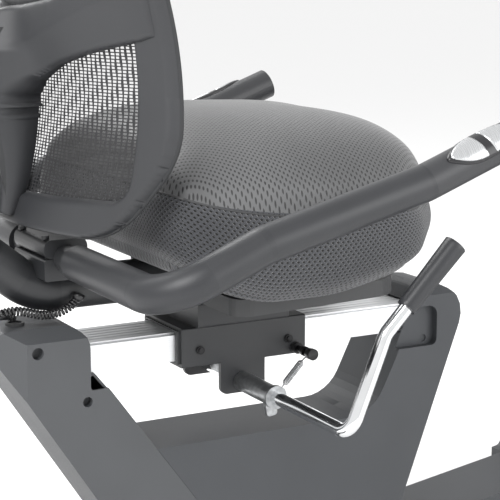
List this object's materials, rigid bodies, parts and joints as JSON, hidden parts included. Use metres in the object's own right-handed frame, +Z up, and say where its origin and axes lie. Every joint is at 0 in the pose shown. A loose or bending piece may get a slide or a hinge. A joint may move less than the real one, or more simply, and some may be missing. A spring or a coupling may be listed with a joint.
{
  "type": "exercise bike",
  "caption": "Recumbent exercise bike: padded seat with mesh backrest on a lever-locked slide rail, side handlebars, covered belt drive, console on a mast.",
  "frame": {"origin": "on the floor, under the middle of the base", "axes": "+X points the way the rider faces, +Y to the rider's left, +Z up"},
  "size_m": [1.58, 0.656, 1.3336],
  "materials": {
    "black_steel": "satin black powder coat",
    "cover_plastic": "fine moulded grain, dark grey",
    "black_plastic": "fine moulded grain, black",
    "rail_aluminium": "clear anodised, fine drawn lines",
    "rubber": "matt",
    "bar_foam": "soft satin skin",
    "sensor_steel": "brushed",
    "chrome": "bright plating",
    "zinc_steel": "zinc plated",
    "black_screws": "black oxide",
    "cast_iron": "machined",
    "seat_leatherette": "perforated leatherette top, spacer mesh sides",
    "back_mesh": "open woven mesh",
    "cord_jacket": "satin coiled jacket",
    "screen_glass": "gloss"
  },
  "bodies": {
    "frame": {"base_beam": "black_steel", "rear_post": "black_steel", "front_post": "black_steel", "rear_stabilizer": "black_steel", "front_stabilizer": "black_steel", "rear_end_caps": "black_plastic", "front_end_caps": "black_plastic", "levelling_feet": "rubber", "drive_frame": "black_steel", "crank_bearings": "zinc_steel", "seat_rail": "rail_aluminium", "rail_end_plugs": "black_plastic", "rear_cover_right": "cover_plastic", "rear_cover_left": "cover_plastic", "base_cover_right": "cover_plastic", "base_cover_left": "cover_plastic", "drive_cover_right": "cover_plastic", "drive_cover_left": "cover_plastic", "mast_boot": "rubber", "console_mast": "black_steel", "console_bracket": "black_steel", "console_back_shell": "black_plastic", "console_front_shell": "black_plastic", "console_screen": "screen_glass", "front_handlebar": "black_steel", "front_grips": "bar_foam", "bottle_holder": "black_plastic", "brake_motor": "black_plastic", "drive_belt": "rubber", "cord_socket": "black_plastic"},
    "carriage": {"carriage_frame": "black_steel", "glide_bushes": "black_plastic", "carriage_bolts": "black_screws", "seat_bracket": "black_steel", "seat_pan": "black_plastic", "seat_cushion": "seat_leatherette", "back_post": "black_steel", "handlebar_saddle": "black_plastic", "side_handlebar": "black_steel", "handlebar_covers": "bar_foam", "pulse_sensors": "sensor_steel", "backrest_bracket": "black_steel", "backrest_shell": "black_plastic", "backrest_mesh": "back_mesh", "curly_cord": "cord_jacket"},
    "lever": {"lever_rod": "chrome", "lever_sleeve": "zinc_steel", "lever_grip": "bar_foam", "lever_spring": "zinc_steel"},
    "clamp": {"clamp_pad": "zinc_steel"},
    "cranks": {"crank_axle": "zinc_steel", "crank_arms": "zinc_steel", "crank_pulley": "black_plastic"},
    "right_pedal": {"pedal_right": "black_plastic"},
    "left_pedal": {"pedal_left": "black_plastic"},
    "flywheel": {"flywheel": "cast_iron"},
    "idler": {"idler_pulley": "zinc_steel"},
    "magnet_arm": {"magnet_arm": "zinc_steel"},
    "right_wheel": {"wheel_right": "rubber"},
    "left_wheel": {"wheel_left": "rubber"}
  },
  "joints": [
    {"name": "seat_slide", "type": "slide", "parent": "frame", "child": "carriage", "axis": [1, 0, 0], "range_m": [-0.095, 0.135], "deforming": ["curly_cord"]},
    {"name": "lever_turn", "type": "hinge", "parent": "carriage", "child": "lever", "pos_m": [-0.351, 0, 0.3455], "axis": [0, 1, 0], "range_deg": [0, 25], "stiffness_Nm_per_rad": 5, "springref_deg": -22.92, "deforming": ["lever_spring"]},
    {"name": "clamp_lift", "type": "slide", "parent": "carriage", "child": "clamp", "axis": [0, 0, 1], "range_m": [-0.003, 0]},
    {"name": "crank_spin", "type": "hinge", "parent": "frame", "child": "cranks", "pos_m": [0.39, 0, 0.33], "axis": [0, 1, 0], "continuous": true},
    {"name": "right_pedal_spin", "type": "hinge", "parent": "cranks", "child": "right_pedal", "pos_m": [0.22, -0.151, 0.33], "axis": [0, 1, 0], "continuous": true},
    {"name": "left_pedal_spin", "type": "hinge", "parent": "cranks", "child": "left_pedal", "pos_m": [0.56, 0.151, 0.33], "axis": [0, 1, 0], "continuous": true},
    {"name": "flywheel_spin", "type": "hinge", "parent": "frame", "child": "flywheel", "pos_m": [0.6, 0, 0.23], "axis": [0, 1, 0], "continuous": true},
    {"name": "idler_spin", "type": "hinge", "parent": "frame", "child": "idler", "pos_m": [0.5043, 0, 0.17383], "axis": [0, 1, 0], "continuous": true},
    {"name": "magnet_lift", "type": "hinge", "parent": "frame", "child": "magnet_arm", "pos_m": [0.712, 0, 0.322], "axis": [0, 1, 0], "range_deg": [0, 5]},
    {"name": "right_wheel_spin", "type": "hinge", "parent": "frame", "child": "right_wheel", "pos_m": [0.763, -0.285, 0.029], "axis": [0, 1, 0], "continuous": true},
    {"name": "left_wheel_spin", "type": "hinge", "parent": "frame", "child": "left_wheel", "pos_m": [0.763, 0.285, 0.029], "axis": [0, 1, 0], "continuous": true}
  ],
  "couplings": [
    {"joint": "clamp_lift", "follows": "lever_turn", "m_per_rad": -0.004584},
    {"joint": "flywheel_spin", "follows": "crank_spin", "ratio": 4},
    {"joint": "idler_spin", "follows": "crank_spin", "ratio": -6.5}
  ]
}
